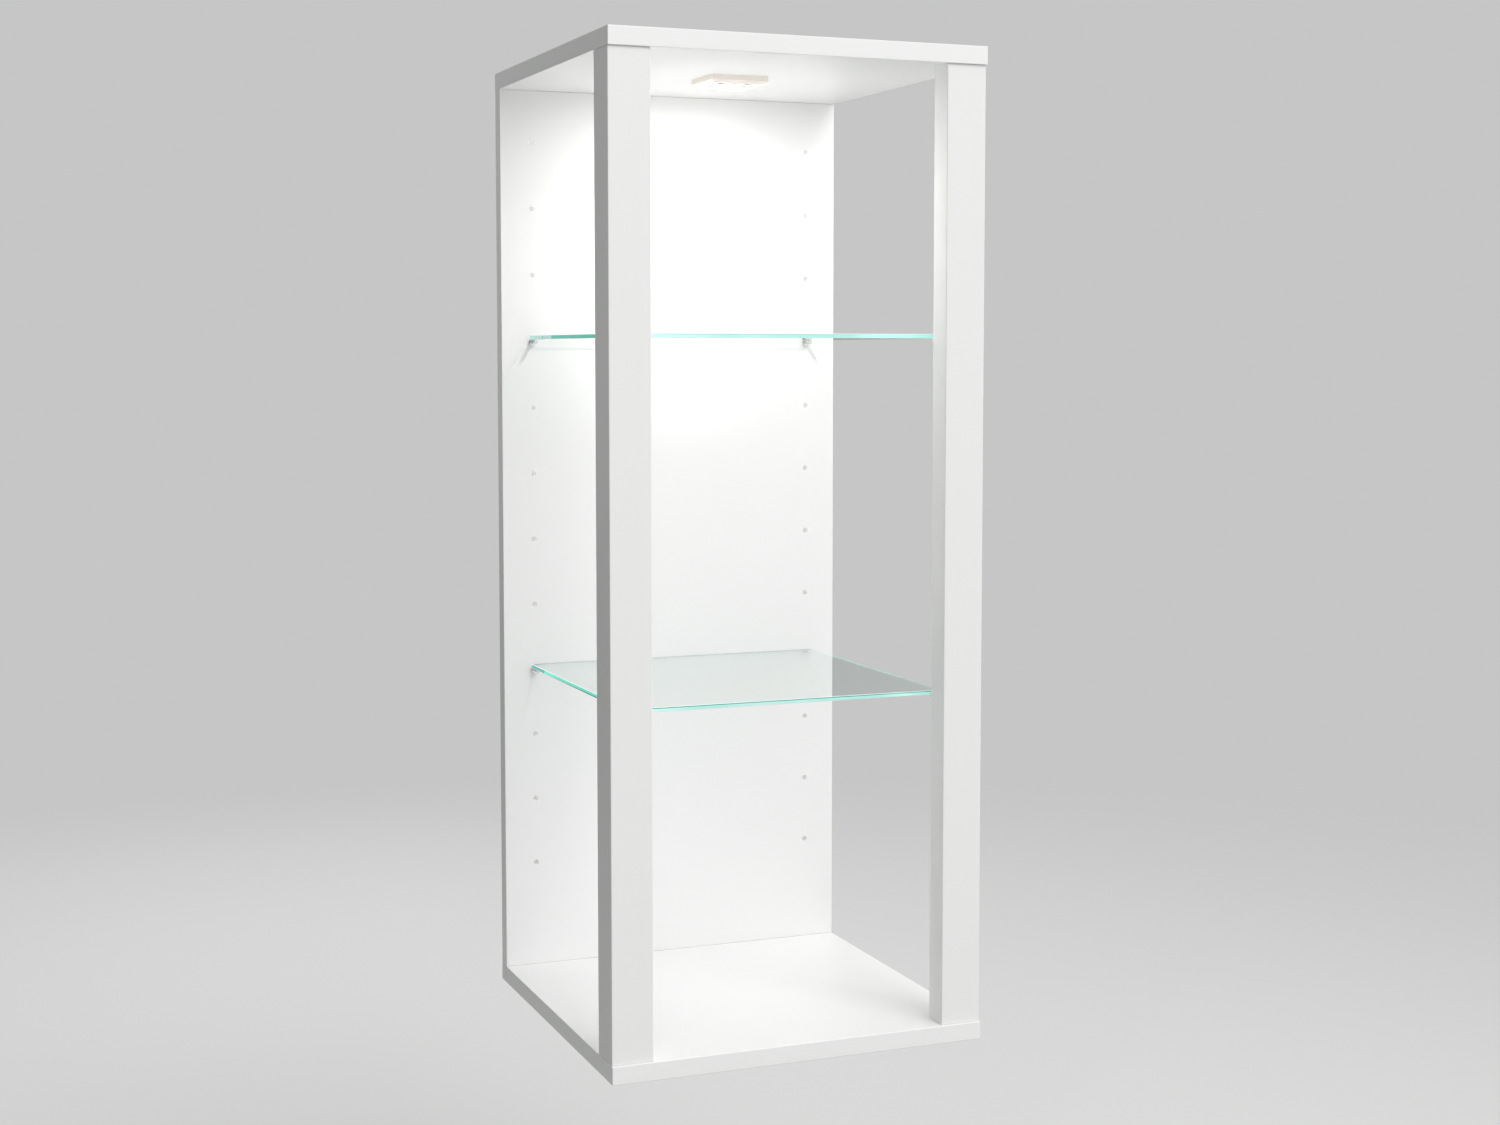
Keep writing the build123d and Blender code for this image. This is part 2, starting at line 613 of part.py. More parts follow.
def dowel():
    """A fluted dowel along Z, centred on its length."""
    flutes = PolarLocations(DOWEL_DIAMETER / 2, DOWEL_FLUTES) * Circle(DOWEL_FLUTE_RADIUS)
    section = Circle(DOWEL_DIAMETER / 2) - flutes
    rod = Pos(0, 0, -DOWEL_LENGTH / 2) * extrude(section, amount=DOWEL_LENGTH)
    blank = Cylinder(DOWEL_DIAMETER / 2, DOWEL_LENGTH)
    return rod & chamfer(blank.edges().filter_by(GeomType.CIRCLE), DOWEL_CHAMFER)


def make_joint_fasteners():
    screws = [Pos(x, y, HEAD_TOP) * joint_screw() for x, y in SCREW_PLACES]
    caps = [Pos(x, y, HALF_HEIGHT) * screw_cap() for x, y in SCREW_PLACES]
    dowel_z = INNER_TOP + DOWEL_IN_BOARD - DOWEL_LENGTH / 2
    dowels = [Pos(x, y, dowel_z) * dowel() for x, y in DOWEL_PLACES]
    for solids, word in ((screws, "joint_screws"), (caps, "screw_caps"), (dowels, "dowels")):
        save(Compound(children=solids), f"top_{word}")
        save(Compound(children=[mirrored_down(solid) for solid in solids]), f"bottom_{word}")


# ---------------------------------------------------------------- wall hangers

def hanger_screw():
    """A countersunk wood screw along -Z with its head top at 0 and a cross recess."""
    shank_radius = HANGER_SCREW_DIAMETER / 2
    head = Cone(shank_radius, HANGER_SCREW_HEAD_DIAMETER / 2, HANGER_SCREW_HEAD_HEIGHT)
    head = Pos(0, 0, -HANGER_SCREW_HEAD_HEIGHT / 2) * head
    shank_low = -HANGER_SCREW_LENGTH + HANGER_SCREW_TIP_LENGTH
    shank_length = -HANGER_SCREW_HEAD_HEIGHT - shank_low
    shank = upright_rod(HANGER_SCREW_DIAMETER, shank_length, 0, 0, shank_low)
    tip = Cone(HANGER_SCREW_TIP_DIAMETER / 2, shank_radius, HANGER_SCREW_TIP_LENGTH)
    tip = Pos(0, 0, shank_low - HANGER_SCREW_TIP_LENGTH / 2) * tip
    recess = cross_recess(HANGER_SCREW_CROSS_LENGTH, HANGER_SCREW_CROSS_WIDTH, HANGER_SCREW_CROSS_DEPTH, 0)
    return head + shank + tip - recess


def make_hangers():
    screws = []
    for side, word in ((-1, "left"), (1, "right")):
        x = side * HANGER_X
        plate = into_rear_face(hanger_outline() - keyhole_outline(), x, HANGER_Z, HANGER_THICKNESS)
        sink = Cone(HANGER_SINK_NECK_DIAMETER / 2, HANGER_SINK_DIAMETER / 2, HANGER_THICKNESS)
        sinks = []
        for z_offset in (-HANGER_SCREW_SPACING / 2, HANGER_SCREW_SPACING / 2):
            place = Pos(x, 0, HANGER_Z + z_offset) * Rot(-90, 0, 0)
            sinks.append(place * Pos(0, 0, -HANGER_THICKNESS / 2) * sink)
            screws.append(place * hanger_screw())
        save(plate - sinks, f"{word}_hanger_plate")
    save(Compound(children=screws), "hanger_screws")


make_boards()
make_back_panel()
make_post(-1, "left")
make_post(1, "right")
make_shelf(UPPER_SHELF_ROW, "upper")
make_shelf(LOWER_SHELF_ROW, "lower")
make_lamp()
make_joint_fasteners()
make_hangers()
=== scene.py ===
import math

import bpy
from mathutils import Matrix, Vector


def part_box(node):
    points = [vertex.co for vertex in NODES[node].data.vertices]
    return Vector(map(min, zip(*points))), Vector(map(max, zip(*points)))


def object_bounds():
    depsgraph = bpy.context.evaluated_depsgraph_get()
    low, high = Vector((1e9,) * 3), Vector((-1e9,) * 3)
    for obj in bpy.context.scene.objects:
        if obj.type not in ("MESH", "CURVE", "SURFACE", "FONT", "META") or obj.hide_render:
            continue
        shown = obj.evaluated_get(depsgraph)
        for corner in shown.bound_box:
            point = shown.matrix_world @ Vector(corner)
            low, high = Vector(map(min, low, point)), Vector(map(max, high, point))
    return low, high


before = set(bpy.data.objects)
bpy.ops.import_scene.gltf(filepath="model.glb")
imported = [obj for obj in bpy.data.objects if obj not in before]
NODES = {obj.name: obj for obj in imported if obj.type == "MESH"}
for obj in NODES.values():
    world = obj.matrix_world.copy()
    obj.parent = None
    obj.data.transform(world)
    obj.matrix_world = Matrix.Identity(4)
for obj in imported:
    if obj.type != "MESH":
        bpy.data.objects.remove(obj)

# The looks of a wall mounted open showcase: white melamine boards, foil wrapped posts, two glass shelves
# on nickel pins and a small lamp. Metres, in the frame of the CAD model: +X right, +Y into the wall, +Z up.

CAD_LOW, CAD_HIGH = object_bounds()
MM = 0.001

# ---------------------------------------------------------------- camera

# A long lens, a little left of the object's front and a little above its middle, turned right to face it.
CAMERA_PLACE = Vector((-0.7460, -2.0904, 0.1755))
CAMERA_YAW_RIGHT = 21.787
CAMERA_PITCH_DOWN = 4.255
CAMERA_LENS = 53.02
CAMERA_SHIFT_Y = -0.030

# ---------------------------------------------------------------- light

BACKDROP_COLOUR = (0.560, 0.565, 0.560)
STUDIO_DARK_SIDE = (0.290, 0.297, 0.290)
STUDIO_BRIGHT_SIDE = (1.200, 1.195, 1.190)
STUDIO_BRIGHT_TOWARDS = (0.80, -0.35, 0.50)
STUDIO_FADE = (-0.20, 1.00)

# Two large softboxes, one in front of the object and one behind it.
KEY_PLACE = Vector((1.20, -4.40, 3.40))
KEY_SIZE = 3.4
KEY_POWER = 124.0
REAR_LIGHT_PLACE = Vector((0.20, 4.20, 0.50))
REAR_LIGHT_SIZE = 1.6
REAR_LIGHT_POWER = 42.0

# The lamp's own light: a beam from a small square, and a spill to all sides, each a drop below the lens.
LAMP_BEAM_POWER = 0.70
LAMP_BEAM_SIZE = 13 * MM
LAMP_BEAM_DROP = 0.6 * MM
LAMP_SPILL_POWER = 0.18
LAMP_SPILL_RADIUS = 1.5 * MM
LAMP_SPILL_DROP = 2.2 * MM

# Light thrown back inside the showcase. The spreads are in degrees.
UP_BOUNCE_POWER = 0.25
UP_BOUNCE_SIZE = 0.16
UP_BOUNCE_SPREAD = 100.0
SIDE_BOUNCE_POWER = 0.22
SIDE_BOUNCE_DEPTH = 0.22
SIDE_BOUNCE_HEIGHT = 0.74
SIDE_BOUNCE_INSET = 0.04
SIDE_BOUNCE_SPREAD = 150.0

# The floor lies well below a wall mounted object, and fades into the backdrop.
FLOOR_DROP = 0.42
FLOOR_RADIUS = 6.0
FLOOR_FADE_START = 0.9
FLOOR_FADE_END = 3.4
FLOOR_LIGHT = (0.700, 0.705, 0.700)
FLOOR_DARK = (0.680, 0.685, 0.680)
FLOOR_BOUNCE_COLOUR = (0.380, 0.385, 0.380)
FLOOR_SIDES = 96
FLOOR_GRAIN_SCALE = 40.0
FLOOR_ROUGHNESS = 0.85

# ---------------------------------------------------------------- colours

WHITE_MELAMINE = (0.860, 0.862, 0.858)
WHITE_FOIL = (0.845, 0.846, 0.842)
WHITE_EDGING = (0.868, 0.870, 0.866)
WHITE_PLASTIC = (0.840, 0.842, 0.835)
LAMP_IVORY = (0.860, 0.805, 0.740)
CHIP_DARK = (0.330, 0.215, 0.120)
CHIP_LIGHT = (0.720, 0.560, 0.380)
NICKEL = (0.930, 0.925, 0.910)
ZINC = (0.560, 0.570, 0.590)
ZINC_YELLOWED = (0.620, 0.600, 0.500)
BEECH_DARK = (0.500, 0.310, 0.170)
BEECH_LIGHT = (0.760, 0.560, 0.360)
SLEEVE_CLEAR = (0.970, 0.980, 0.980)
SLEEVE_HAZE = (0.900, 0.930, 0.930)
SLEEVE_SHADOW = (0.720, 0.730, 0.730)
SOLDER_MASK = (0.780, 0.790, 0.770)
LED_AMBER = (0.950, 0.780, 0.300)
LED_CREAM = (1.000, 0.920, 0.620)
LENS_WHITE = (1.000, 0.985, 0.955)
LENS_RING = (0.060, 0.060, 0.066)
LAMP_LIGHT_COLOUR = (1.000, 0.985, 0.955)
# Glass edges, painted light: glow colours in the glass's own green, painted dark lines of shade and a
# painted highlight on the arrises. GLASS_FACE is the faces' own tint.
GLASS_FRONT_EDGE = (0.620, 0.955, 0.920)
GLASS_FRONT_LINE = (0.045, 0.400, 0.320)
GLASS_SIDE_EDGE = (0.160, 0.790, 0.620)
GLASS_SIDE_LINE = (0.010, 0.170, 0.100)
GLASS_FACE = (0.870, 0.890, 0.876)
GLASS_ARRIS_HIGHLIGHT = (0.880, 1.000, 0.985)
GLASS_REAR_END = (0.055, 0.400, 0.340)
GLASS_REAR_LINE = (0.030, 0.075, 0.060)


# ---------------------------------------------------------------- node helpers

def new_material(name):
    """An empty node material and its tree."""
    material = bpy.data.materials.new(name)
    material.use_nodes = True
    material.node_tree.nodes.clear()
    return material, material.node_tree


def add(tree, kind, inputs=None, **settings):
    """A node of that kind with these settings and inputs; an input is a value or another node's output."""
    node = tree.nodes.new("ShaderNode" + kind)
    for setting, value in settings.items():
        setattr(node, setting, value)
    for socket_name, value in (inputs or {}).items():
        socket = node.inputs[socket_name]
        if isinstance(value, bpy.types.NodeSocket):
            tree.links.new(value, socket)
        elif socket.type == "RGBA" and len(value) == 3:
            socket.default_value = (*value, 1.0)
        else:
            socket.default_value = value
    return node


def maths(tree, operation, first, second=0.0):
    """The output of one maths node."""
    return add(tree, "Math", {0: first, 1: second}, operation=operation).outputs[0]


def product(tree, first, *others):
    """Several values multiplied."""
    for other in others:
        first = maths(tree, "MULTIPLY", first, other)
    return first


def object_place(tree):
    """The place in the object's own frame, which is the CAD frame at rest."""
    return add(tree, "TexCoord").outputs["Object"]


def split(tree, vector):
    """The X, Y and Z of a vector."""
    return add(tree, "SeparateXYZ", {0: vector}).outputs[:3]


def scaled(tree, vector, factors):
    """A vector multiplied axis by axis."""
    return add(tree, "VectorMath", {0: vector, 1: factors}, operation="MULTIPLY").outputs[0]


def noise(tree, vector, scale, detail=2.0, roughness=0.5):
    """A noise value about 0.5, with features of about 1 / scale metres."""
    inputs = {"Vector": vector, "Scale": scale, "Detail": detail, "Roughness": roughness}
    return add(tree, "TexNoise", inputs).outputs["Fac"]


def flake_shade(tree, vector, scale):
    """A random value for each cell of a pattern of flakes of about 1 / scale metres."""
    flakes = add(tree, "TexVoronoi", {"Vector": vector, "Scale": scale}).outputs["Color"]
    return add(tree, "SeparateColor", {0: flakes}).outputs[0]


def spread(tree, value, low, high):
    """A value from 0 to 1 carried to low to high."""
    node = add(tree, "MapRange", {"Value": value, "To Min": low, "To Max": high}, clamp=False)
    return node.outputs[0]


def step_up(tree, value, start, end):
    """0 before start, 1 after end and smooth between, where end may also be the lower of the two."""
    inputs = {"Value": value, "From Min": start, "From Max": end}
    return add(tree, "MapRange", inputs, interpolation_type="SMOOTHSTEP").outputs[0]


def mixed(tree, factor, first, second):
    """Two colours mixed."""
    inputs = {"Factor": factor, "A": first, "B": second}
    node = tree.nodes.new("ShaderNodeMix")
    node.data_type = "RGBA"
    for name, value in inputs.items():
        socket = next(s for s in node.inputs if s.name == name and s.enabled)
        if isinstance(value, bpy.types.NodeSocket):
            tree.links.new(value, socket)
        else:
            socket.default_value = value if name == "Factor" else (*value, 1.0)
    return next(s for s in node.outputs if s.enabled)


def bump(tree, height, depth, strength=1.0, normal=None):
    """A normal bent by a height from 0 to 1 that stands for depth metres."""
    inputs = {"Height": height, "Distance": depth, "Strength": strength}
    if normal is not None:
        inputs["Normal"] = normal
    return add(tree, "Bump", inputs).outputs[0]


def principled(tree, **inputs):
    """A Principled shader; underscores in the names stand for spaces."""
    sockets = {name.replace("_", " "): value for name, value in inputs.items()}
    return add(tree, "BsdfPrincipled", sockets).outputs[0]


def finish_material(tree, surface, volume=None):
    """Joins the surface, and the volume if there is one, to the material's output."""
    output = add(tree, "OutputMaterial", {"Surface": surface})
    if volume is not None:
        tree.links.new(volume, output.inputs["Volume"])


def unsigned(tree, value):
    """A value without its sign."""
    return maths(tree, "ABSOLUTE", value)


def opposite(tree, value):
    """One less a value from 0 to 1."""
    return maths(tree, "SUBTRACT", 1.0, value)


def close_to(tree, value, target, reach):
    """1 where a value is within reach of the target, else 0."""
    return maths(tree, "LESS_THAN", unsigned(tree, maths(tree, "SUBTRACT", value, target)), reach)


def normal_parts(tree):
    """The X, Y and Z of the surface's normal in the object's own frame."""
    return split(tree, add(tree, "TexCoord").outputs["Normal"])


def toned(colour, factor):
    """A colour made darker or lighter by a factor."""
    return tuple(factor * channel for channel in colour)


# ---------------------------------------------------------------- board materials

# Scales are features per metre. A gloss is the middle of a surface's roughness.
FINE_GRAIN_SCALE = 1900.0
SOFT_GRAIN_SCALE = 420.0
BLOTCH_SCALE = 9.0
WHITE_DARKENING = 0.965
FINE_SHARE = 0.6
SOFT_SHARE = 0.4
SKIN_IOR = 1.48

MELAMINE_GLOSS = 0.42
MELAMINE_GRAIN_DEPTH = 0.05 * MM

CHIP_SCALE = 330.0
CHIP_STRETCH = (1.0, 1.0, 2.6)
CHIP_DUST_SCALE = 2400.0
CHIP_DEPTH = 0.3 * MM
CHIP_ADDED_ROUGHNESS = 0.4

EDGING_GLOSS = 0.36
EDGING_GRAIN_DEPTH = 0.03 * MM
EDGING_IOR = 1.50
CHATTER_SCALE = 70.0
CHATTER_DEPTH = 0.012 * MM

FOIL_GLOSS = 0.44
FOIL_GRAIN_DEPTH = 0.04 * MM
FOIL_DRAW_SCALE = 900.0
FOIL_DRAW_STRETCH = (1.0, 1.0, 0.02)
FOIL_DRAW_DEPTH = 0.02 * MM

# Where a point belongs: how near a face it lies, and how far its surface tilts.
FLAT_NORMAL = 0.9
REAR_FACE_REACH = 0.02 * MM
FACE_REACH = 0.05 * MM
FACING = 0.25 * MM
PIN_HOLE_DEPTH = 10.0 * MM
PIN_COLUMN_REACH = 4.0 * MM
# Painted light in the shelf pin holes, as glow strengths.
PIN_HOLE_GLOW_LOW = 0.115
PIN_HOLE_GLOW_HIGH = 0.200


def chipboard_colour(tree, place):
    """The colour and the height of pressed flakes of several browns."""
    shade = flake_shade(tree, scaled(tree, place, CHIP_STRETCH), CHIP_SCALE)
    colour = mixed(tree, shade, CHIP_DARK, CHIP_LIGHT)
    dust = noise(tree, place, CHIP_DUST_SCALE, 3.0)
    return mixed(tree, spread(tree, dust, 0.0, 0.35), colour, CHIP_LIGHT), shade


def satin_white(tree, place, base, gloss, depth):
    """The colour, roughness and bump of a satin white skin with a fine embossed grain."""
    blotch = noise(tree, place, BLOTCH_SCALE, 3.0)
    fine = noise(tree, place, FINE_GRAIN_SCALE, 2.0, 0.6)
    soft = noise(tree, place, SOFT_GRAIN_SCALE, 2.0)
    darker = toned(base, WHITE_DARKENING)
    colour = mixed(tree, spread(tree, blotch, 0.0, 0.55), base, darker)
    colour = mixed(tree, step_up(tree, fine, 0.60, 0.78), colour, darker)
    wide = spread(tree, blotch, gloss - 0.03, gloss + 0.03)
    roughness = maths(tree, "ADD", spread(tree, soft, -0.05, 0.05), wide)
    height = maths(tree, "ADD", product(tree, fine, FINE_SHARE), product(tree, soft, SOFT_SHARE))
    return colour, roughness, bump(tree, height, depth, 0.5)


def board_material(name, node, raw_mask, glow=None):
    """Melamine faced chipboard; raw_mask is 1 where the core shows, and glow is painted light added to it.
    """
    material, tree = new_material(name)
    place = object_place(tree)
    skin = satin_white(tree, place, WHITE_MELAMINE, MELAMINE_GLOSS, MELAMINE_GRAIN_DEPTH)
    colour, roughness, normal = skin
    chip, chip_height = chipboard_colour(tree, place)
    raw = raw_mask(tree, place)
    colour = mixed(tree, raw, colour, chip)
    roughness = maths(tree, "ADD", roughness, product(tree, raw, CHIP_ADDED_ROUGHNESS))
    normal = bump(tree, product(tree, chip_height, raw), CHIP_DEPTH, 0.7, normal)
    inputs = {"Base_Color": colour, "Roughness": roughness, "Normal": normal, "IOR": SKIN_IOR}
    if glow is not None:
        inputs["Emission_Color"] = WHITE_MELAMINE
        inputs["Emission_Strength"] = glow(tree, place)
    finish_material(tree, principled(tree, **inputs))
    set_material(node, material)


def set_material(node, material):
    """Puts a material in every slot of a CAD node, leaving its mesh alone."""
    for slot in NODES[node].material_slots:
        slot.link = "OBJECT"
        slot.material = material


def raw_in_board(node):
    """A mask for a top or bottom board: its sawn rear edge and the insides of its holes."""
    low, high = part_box(node)

    def mask(tree, place):
        y, z = split(tree, place)[1:]
        rear = maths(tree, "GREATER_THAN", y, high.y - REAR_FACE_REACH)
        above = maths(tree, "GREATER_THAN", z, low.z + FACE_REACH)
        below = maths(tree, "LESS_THAN", z, high.z - FACE_REACH)
        inside = product(tree, above, below)
        flat = maths(tree, "GREATER_THAN", unsigned(tree, normal_parts(tree)[2]), FLAT_NORMAL)
        drilled = product(tree, inside, opposite(tree, flat))
        return maths(tree, "MAXIMUM", product(tree, rear, inside), drilled)

    return mask


def in_pin_column(tree, place):
    """1 inside the two columns of shelf pin holes."""
    low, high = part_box("upper_pin_rear_right")
    from_middle = unsigned(tree, split(tree, place)[0])
    return close_to(tree, from_middle, (low.x + high.x) / 2, PIN_COLUMN_REACH)


def raw_in_panel(tree, place):
    """A mask for the back panel: everything under its two faces, apart from the lined shelf pin holes."""
    low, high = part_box("back_panel")
    y = split(tree, place)[1]
    behind_front = maths(tree, "GREATER_THAN", y, low.y + FACING)
    before_rear = maths(tree, "LESS_THAN", y, high.y - FACING)
    return product(tree, behind_front, before_rear, opposite(tree, in_pin_column(tree, place)))


def pin_hole_glow(tree, place):
    """Painted light: a glow for the light that the white lining of the shelf pin holes scatters, which grows
    towards the lamp.
    """
    low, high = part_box("back_panel")
    y, z = split(tree, place)[1:]
    inside = maths(tree, "GREATER_THAN", y, low.y + 2 * FACING)
    shallow = maths(tree, "LESS_THAN", y, low.y + PIN_HOLE_DEPTH + FACING)
    height = add(tree, "MapRange", {"Value": z, "From Min": low.z, "From Max": high.z}).outputs[0]
    strength = spread(tree, height, PIN_HOLE_GLOW_LOW, PIN_HOLE_GLOW_HIGH)
    return product(tree, inside, shallow, in_pin_column(tree, place), strength)


def make_boards():
    """The two level boards and the back panel."""
    for node in ("top_board", "bottom_board"):
        board_material(node + "_melamine", node, raw_in_board(node))
    board_material("panel_melamine", "back_panel", raw_in_panel, pin_hole_glow)


def make_edging():
    """Thin plastic strip: glossier than the boards, with the marks of the trimming cutter along it."""
    material, tree = new_material("edging_plastic")
    place = object_place(tree)
    skin = satin_white(tree, place, WHITE_EDGING, EDGING_GLOSS, EDGING_GRAIN_DEPTH)
    colour, roughness, normal = skin
    wave = {"Vector": place, "Scale": CHATTER_SCALE, "Distortion": 1.2, "Detail": 1.0}
    chatter = add(tree, "TexWave", wave, bands_direction="DIAGONAL").outputs["Fac"]
    normal = bump(tree, chatter, CHATTER_DEPTH, 0.25, normal)
    surface = principled(tree, Base_Color=colour, Roughness=roughness, Normal=normal, IOR=EDGING_IOR)
    finish_material(tree, surface)
    for node in NODES:
        if node.endswith("_edging"):
            set_material(node, material)


def make_posts():
    """Foil wrapped posts, with a faint lengthwise draw in the foil."""
    material, tree = new_material("post_foil")
    place = object_place(tree)
    skin = satin_white(tree, place, WHITE_FOIL, FOIL_GLOSS, FOIL_GRAIN_DEPTH)
    colour, roughness, normal = skin
    drawn = noise(tree, scaled(tree, place, FOIL_DRAW_STRETCH), FOIL_DRAW_SCALE)
    normal = bump(tree, drawn, FOIL_DRAW_DEPTH, 0.3, normal)
    surface = principled(tree, Base_Color=colour, Roughness=roughness, Normal=normal, IOR=SKIN_IOR)
    finish_material(tree, surface)
    for node in ("left_post", "right_post"):
        set_material(node, material)


# ---------------------------------------------------------------- glass

GLASS_IOR = 1.52
GLASS_DEPTH_COLOUR = (0.020, 0.860, 0.770)
GLASS_DENSITY = 6.0
GLASS_FACE_SHADOW = (0.970, 0.962, 0.964)
GLASS_EDGE_SHADOW = (0.880, 0.910, 0.905)
GLASS_EDGE_LOWER_SHADOW = (0.300, 0.340, 0.335)
GLASS_ROUGHNESS = 0.03
GLASS_SMEAR_SCALE = 30.0
GLASS_RIPPLE_SCALE = 14.0
GLASS_RIPPLE_DEPTH = 0.02 * MM
EDGE_ROUGHNESS = 0.25
EDGE_TINT_SCALE = 12.0
EDGE_TINT_STRETCH = (1.0, 1.0, 0.2)
SIDEWAYS_NORMAL = 0.6

# How much of an edge's look is painted light, a glow in the edge's colours, and not what is seen through it.
EDGE_GLOW_SHARE = 0.78
FRONT_GLOW = 0.24

# Heights on an edge, as shares of the glass's thickness.
ARRIS_SHARE = 0.10
FRONT_LINE_START = 0.64
FRONT_LINE_END = 0.76
SIDE_LINE_REAR = 0.10
SIDE_LINE_FRONT = 0.46

# Distances along a side edge from the rear one.
REAR_LINE_WIDTH = 0.5 * MM
BAND_PLACE = 45 * MM
BAND_WIDTH = 3 * MM
PALE_END_LENGTH = 74 * MM

# line is the strength of the painted dark lines; rear_end is how far a side edge's painted rear end reaches.
SHELF_LOOKS = {
    "upper_shelf": {
        "line": 0.25,
        "side_glow": 0.34,
        "rear_end": PALE_END_LENGTH,
        "painted_rear_end": GLASS_FRONT_EDGE,
    },
    "lower_shelf": {
        "line": 1.00,
        "side_glow": 0.76,
        "rear_end": BAND_PLACE,
        "painted_rear_end": GLASS_REAR_END,
    },
}


def lets_light_by(tree):
    """1 for rays that carry light on to other surfaces, which clear pieces let straight through."""
    path = add(tree, "LightPath")
    return maths(tree, "MAXIMUM", path.outputs["Is Shadow Ray"], path.outputs["Is Diffuse Ray"])


def painted_edge_light(tree, place, across, sideways, low, high, look):
    """The painted light of a shelf's edges: painted highlights on the arrises, a pale front with a painted
    dark upper line, and deep sides.
    """
    along = noise(tree, scaled(tree, place, EDGE_TINT_STRETCH), EDGE_TINT_SCALE)
    shade = spread(tree, step_up(tree, along, 0.40, 0.66), 0.0, 0.30)
    front = mixed(tree, shade, GLASS_FRONT_EDGE, GLASS_SIDE_EDGE)
    # A painted dark line of shade on the upper part of the front edge.
    front_shade_line = product(tree, step_up(tree, across, FRONT_LINE_START, FRONT_LINE_END), look["line"])
    front = mixed(tree, front_shade_line, front, GLASS_FRONT_LINE)

    # The painted dark line of shade at the foot of a side edge widens from the rear to the front.
    from_rear = maths(tree, "SUBTRACT", high.y, split(tree, place)[1])
    widening = {
        "Value": from_rear,
        "From Max": high.y - low.y,
        "To Min": SIDE_LINE_REAR,
        "To Max": SIDE_LINE_FRONT,
    }
    line_top = add(tree, "MapRange", widening).outputs[0]
    side_shade_line = product(tree, maths(tree, "LESS_THAN", across, line_top), look["line"])
    side = mixed(tree, shade, GLASS_SIDE_EDGE, GLASS_FRONT_EDGE)
    side = mixed(tree, side_shade_line, side, GLASS_SIDE_LINE)
    # Painted light at the rear end of a side edge, pale on one shelf and dark on the other, and a painted
    # band of the side colour a little way from the rear.
    in_rear_end = maths(tree, "LESS_THAN", from_rear, look["rear_end"])
    side = mixed(tree, in_rear_end, side, look["painted_rear_end"])
    painted_band = close_to(tree, from_rear, BAND_PLACE, BAND_WIDTH / 2)
    side = mixed(tree, painted_band, side, GLASS_SIDE_EDGE)

    edge_light = mixed(tree, sideways, front, side)
    # Painted highlights on the top and bottom arrises, and a painted dark line of shade along the rear edge.
    from_middle = unsigned(tree, maths(tree, "SUBTRACT", across, 0.5))
    arris = maths(tree, "GREATER_THAN", from_middle, 0.5 - ARRIS_SHARE)
    edge_light = mixed(tree, arris, edge_light, GLASS_ARRIS_HIGHLIGHT)
    rear_shade_line = maths(tree, "LESS_THAN", from_rear, REAR_LINE_WIDTH)
    return mixed(tree, rear_shade_line, edge_light, GLASS_REAR_LINE)


def glass_material(node, look):
    """Float glass: clear faces, and ground edges painted with light in the green of the glass: a glow,
    painted highlights and painted dark lines.
    """
    low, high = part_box(node)
    material, tree = new_material(node + "_glass")
    place = object_place(tree)
    normal = normal_parts(tree)
    edge = maths(tree, "LESS_THAN", unsigned(tree, normal[2]), FLAT_NORMAL)
    sideways = maths(tree, "GREATER_THAN", unsigned(tree, normal[0]), SIDEWAYS_NORMAL)
    height = split(tree, place)[2]
    across = add(tree, "MapRange", {"Value": height, "From Min": low.z, "From Max": high.z}).outputs[0]

    ripple = noise(tree, place, GLASS_RIPPLE_SCALE, 1.0)
    smear = noise(tree, place, GLASS_SMEAR_SCALE, 4.0, 0.65)
    clear = principled(
        tree,
        Base_Color=GLASS_FACE,
        Roughness=product(tree, step_up(tree, smear, 0.55, 0.95), GLASS_ROUGHNESS),
        IOR=GLASS_IOR,
        Transmission_Weight=1.0,
        Normal=bump(tree, ripple, GLASS_RIPPLE_DEPTH, 0.2),
    )
    edge_light = painted_edge_light(tree, place, across, sideways, low, high, look)
    glow = principled(
        tree,
        Base_Color=edge_light,
        Roughness=EDGE_ROUGHNESS,
        Emission_Color=edge_light,
        Emission_Strength=spread(tree, sideways, FRONT_GLOW, look["side_glow"]),
    )
    body = add(tree, "MixShader", {0: product(tree, edge, EDGE_GLOW_SHARE), 1: clear, 2: glow}).outputs[0]

    # The faces pass nearly all light. Only the foot of each edge casts a clear line of shadow.
    lower_part = maths(tree, "LESS_THAN", across, 2 * ARRIS_SHARE)
    past_edge = mixed(tree, lower_part, GLASS_EDGE_SHADOW, GLASS_EDGE_LOWER_SHADOW)
    passed = mixed(tree, edge, GLASS_FACE_SHADOW, past_edge)
    shadow = add(tree, "BsdfTransparent", {"Color": passed}).outputs[0]
    surface = add(tree, "MixShader", {0: lets_light_by(tree), 1: body, 2: shadow}).outputs[0]
    depth = {"Color": GLASS_DEPTH_COLOUR, "Density": GLASS_DENSITY}
    finish_material(tree, surface, add(tree, "VolumeAbsorption", depth).outputs[0])
    set_material(node, material)


def make_glass():
    """The two shelves, whose edges catch the lamp's light differently."""
    for node, look in SHELF_LOOKS.items():
        glass_material(node, look)


# ---------------------------------------------------------------- pins and their sleeves

LATHE_SCALE = 5200.0
LATHE_STRETCH = (0.1, 1.0, 0.1)
LATHE_DEPTH = 0.01 * MM
NICKEL_SMEAR_SCALE = 600.0
NICKEL_DARKENING = 0.88
SLEEVE_IOR = 1.49
SLEEVE_CLARITY = 0.62
SLEEVE_HAZE_SCALE = 700.0
SLEEVE_HAZE_DEPTH = 0.03 * MM


